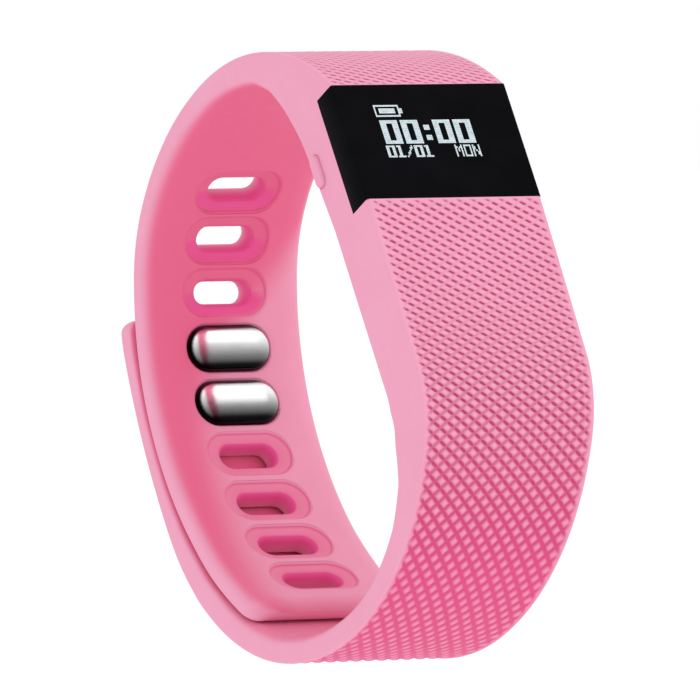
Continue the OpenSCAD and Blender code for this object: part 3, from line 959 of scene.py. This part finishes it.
def stud_rings(neck_top):
    """One stud: an oval neck, and a head with upright sides and a low crown."""
    rings = [oval_ring(NECK[0], NECK[1], z) for z in (neck_top, neck_top - 0.3, HEAD_BASE + 0.2)]
    rings.append(oval_ring(NECK[0] + 0.3, NECK[1] + 0.3, HEAD_BASE))
    # the head's profile: how far in from its outline, and what share of its height up
    profile = [(0.35, 0.0), (0.1, 0.04), (0.0, 0.14), (0.0, 0.3), (0.0, CROWN_STARTS)]
    for turn in np.linspace(0, math.pi / 2, 22)[1:]:
        profile.append(((HEAD[1] / 2 - 0.02) * (1 - math.cos(turn)),
                        CROWN_STARTS + (1 - CROWN_STARTS) * math.sin(turn) ** 0.8))
    for inset, share in profile:
        rings.append(oval_ring(HEAD[0] - 2 * inset, HEAD[1] - 2 * inset,
                               HEAD_BASE - share * (HEAD_BASE - HEAD_TOP)))
    return rings[::-1]


def painted_light(rings):
    """Painted light at each point of a stud: a soft painted highlight band on the crown, and
    painted shade on the rim and the side wall.
    """
    x, y, z = np.concatenate(rings).T
    sideways = np.maximum(np.abs(x) - (HEAD[0] - HEAD[1]) / 2, 0)
    inset = HEAD[1] / 2 - np.hypot(sideways, y)
    # painted highlight band across the crown, fading to painted shade at the rim
    top = table(CROWN, y / (HEAD[1] / 2)) * smooth(0.08, 0.3, inset)
    # painted shade on the side wall: near black, a little lighter next to the head's base
    wall = 0.12 * smooth(0.9, 0.5, HEAD_BASE - z)
    return np.where(inset < 0.05, wall, top)


def build_studs():
    """Both studs, with necks as long as the CAD's."""
    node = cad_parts["clasp_studs"]
    places = np.array([vertex.co for vertex in node.data.vertices])
    stacks = []
    for number in STUD_SLOTS:
        local = seen_from(slot_frame(number), places)
        own = local[np.abs(local[:, 1]) < HEAD[1] / 2]
        stacks.append((stud_rings(own[:, 2].max()), slot_frame(number)))
    studs = stacks_object("stud_heads", stacks)
    set_values(studs.data, "crown", np.concatenate([painted_light(rings) for rings, _ in stacks]))
    shade_smooth(studs, 50)
    finish_piece(studs, "studs")
    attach(studs, "clasp_end")
    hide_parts("clasp_studs")


build_studs()


# ---------- display ----------

def build_window():
    """Black block with sloping long edges and a hollow for the panel."""
    half = np.array([(HALF_BAND, -WINDOW_DEEP), (HALF_BAND, -WINDOW_SLOPE),
                     (HALF_BAND - WINDOW_SLOPE, 0)])
    profile = np.concatenate([half, half[::-1] * (-1, 1)])
    near_end = WINDOW_HALF - 0.05
    rings = [np.array([(x, v, w) for x, w in profile])
             for v in (WINDOW_HALF, near_end, -near_end, -WINDOW_HALF)]
    window = stacks_object("window_block", [(rings, CORE)])
    bevel = window.modifiers.new("edges", "BEVEL")
    bevel.width = WINDOW_BEVEL * MM
    bevel.segments = 2
    bevel.limit_method = "ANGLE"
    graph = bpy.context.evaluated_depsgraph_get()
    window.data = bpy.data.meshes.new_from_object(window.evaluated_get(graph))
    window.modifiers.clear()
    hollow = stacks_object("hollow_cutter", [
        (box_rings((-PANEL_HALF[0], PANEL_HALF[0]), (-PANEL_HALF[1], PANEL_HALF[1]),
                   (-WINDOW_DEEP - 1, -GLASS_THICK)), CORE)])
    cut_away(window, [hollow])
    finish_piece(window, "window")
    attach(window, "tracker")
    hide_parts("display_window")


GLYPHS = {
    "0": ("######", "##..##", "##..##", "##..##", "##..##", "##..##", "######"),
    "1": ("###..", ".##..", ".##..", ".##..", ".##..", ".##..", "#####"),
    "/": ("....#", "...##", "...#.", "..#..", ".##..", ".#...", "#...."),
    "M": ("#...#", "##.##", "#.#.#", "#.#.#", "#...#", "#...#", "#...#"),
    "O": ("#####", "#...#", "#...#", "#...#", "#...#", "#...#", "#####"),
    "N": ("#...#", "##..#", "##..#", "#.#.#", "#..##", "#..##", "#...#"),
}
# Pitch of the dots across and down, where the first one starts in X and V, and each dot's steps
# from its foot to its top, (share of the pitch, height over the window's face)
DOT = (0.164, 0.186)
DOT_ORIGIN = (5.85, -4.0)
DOT_STEPS = ((0.9, -0.03), (0.9, 0.006), (0.82, 0.014))


def lit_dots():
    """Columns and rows of the lit dots: a battery sign, the time, the date and the weekday."""
    def block(column, row, width, height):
        return {(column + a, row + b) for a in range(width) for b in range(height)}

    def ring(column, row, width, height, side, cap):
        hollow = block(column + side, row + cap, width - 2 * side, height - 2 * cap)
        return block(column, row, width, height) - hollow

    def word(text, column, row, gap):
        dots = set()
        for letter in text:
            for b, line in enumerate(GLYPHS[letter]):
                dots |= {(column + a, row + b) for a, mark in enumerate(line) if mark == "#"}
            column += len(GLYPHS[letter][0]) + gap
        return dots

    dots = ring(0, 0, 17, 7, 1, 1) | block(3, 2, 11, 3) | block(17, 2, 2, 3)
    for column in (1, 15, 37, 51):
        dots |= ring(column, 9, 12, 14, 4, 2)
    dots |= block(30, 12, 4, 3) | block(30, 18, 4, 3)
    dots |= word("01/01", 0, 24, 1) | word("MON", 47, 24, 1)
    return dots


def build_dots():
    stacks = []
    for column, row in sorted(lit_dots()):
        x = DOT_ORIGIN[0] - column * DOT[0]
        v = DOT_ORIGIN[1] + row * DOT[1]
        corners = ((x - DOT[0], v), (x, v), (x, v + DOT[1]), (x - DOT[0], v + DOT[1]))
        middle = np.mean(corners, 0)
        rings = [np.array([(*(middle + (np.array(corner) - middle) * size), w)
                           for corner in corners]) for size, w in DOT_STEPS]
        stacks.append((rings, CORE))
    dots = stacks_object("lit_dots", stacks)
    dots.data.materials.append(lit_pixels())
    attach(dots, "tracker")


build_window()
build_dots()


# ---------- button ----------

def build_button():
    """Soft oval cap on a flange, with the stem that reaches the switch."""
    inner, outer = FLANGE_X
    rings = [button_ring((STEM, STEM), STEM_W, x) for x in (STEM_X, STEM_X + 0.1, inner)]
    for x, grow in ((inner, -2 * FLANGE_ROUND), (inner + FLANGE_ROUND, 0),
                    (outer - FLANGE_ROUND, 0), (outer, -2 * FLANGE_ROUND)):
        rings.append(button_ring(FLANGE, FLANGE_W, x, grow))
    rings += [button_ring(CAP, BUTTON_W, x) for x in (outer, CAP_EDGE)]
    for turn in np.linspace(0, math.pi / 2, 7)[1:]:
        grow = -2 * CAP_ROUND[0] * (1 - math.cos(turn))
        rings.append(button_ring(CAP, BUTTON_W, CAP_EDGE + CAP_ROUND[1] * math.sin(turn), grow))
    button = stacks_object("button_cap", [(rings, CORE)])
    shade_smooth(button, 40)
    finish_piece(button, "soft_band")
    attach(button, "button")
    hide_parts("side_button")


build_button()


# ---------- CAD nodes that stay ----------

NODE_SLOTS = {
    "steel": ("clasp_anchor", "board_screws", "crystal_can", "motor_case", "motor_lid",
              "motor_shaft", "motor_rotor"),
    "seal": ("window_gasket", "button_seal"),
    "glass_panel": ("oled_panel",),
    "flex": ("oled_flex",),
    "black_plastic": ("core_tray", "core_cover", "contact_block"),
    "board": ("main_board", "battery_board"),
    "chips": ("processor_chip", "motion_sensor", "memory_chip"),
    "ceramic": ("board_passives", "chip_antenna"),
    "foil": ("battery_cell",),
    "wire": ("battery_leads",),
    "switch_plastic": ("switch_body",),
    "switch_red": ("switch_plunger",),
    "gold": ("charging_contacts",),
}
for slot, nodes in NODE_SLOTS.items():
    for node in nodes:
        finish_piece(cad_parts[node], slot)


# ---------- studio ----------

# The band hangs clear of the floor, with room under it for the strap to swing open
FLOOR_BELOW = 42


def build_studio():
    """A pale floor, even light from all round, and a weak soft light from above."""
    low = cad_box[0].z / MM - FLOOR_BELOW
    reach = 3000
    floor = new_object("studio_floor", [(-reach, -reach, low), (reach, -reach, low),
                                        (reach, reach, low), (-reach, reach, low)], [(0, 1, 2, 3)])
    floor.data.materials.append(floor_finish())
    world = bpy.data.worlds.new("studio")
    bpy.context.scene.world = world
    world.use_nodes = True
    world.node_tree.nodes["Background"].inputs["Color"].default_value = (1, 1, 1, 1)
    world.node_tree.nodes["Background"].inputs["Strength"].default_value = 1.0
    direction = Vector((-0.35, 0.57, 0.71)).normalized()
    light = bpy.data.lights.new("key", "AREA")
    light.size = 0.5
    light.energy = 0.7
    lamp = bpy.data.objects.new("key", light)
    lamp.location = direction * 0.8
    lamp.rotation_euler = direction.to_track_quat("Z", "Y").to_euler()
    bpy.context.scene.collection.objects.link(lamp)


def build_camera():
    """A long lens from the display side, a little above level, with +X nearest."""
    azimuth = math.radians(58)
    above = math.radians(2.06)
    lens = 800
    frame_width = 67.24
    # how far the middle of the frame lies from the origin, to the right and up
    aside = (-0.74, 0.154)
    toward = Vector((math.cos(above) * math.cos(azimuth), math.cos(above) * math.sin(azimuth),
                     math.sin(above)))
    turn = toward.to_track_quat("Z", "Y")
    aim = turn @ Vector((*aside, 0))
    data = bpy.data.cameras.new("camera")
    data.lens = lens
    data.clip_end = 100
    camera = bpy.data.objects.new("camera", data)
    camera.location = (aim + toward * (frame_width * lens / data.sensor_width)) * MM
    camera.rotation_euler = turn.to_euler()
    bpy.context.scene.collection.objects.link(camera)
    bpy.context.scene.camera = camera


build_studio()
build_camera()
bpy.context.scene.view_settings.view_transform = "Standard"

bpy.context.view_layer.update()
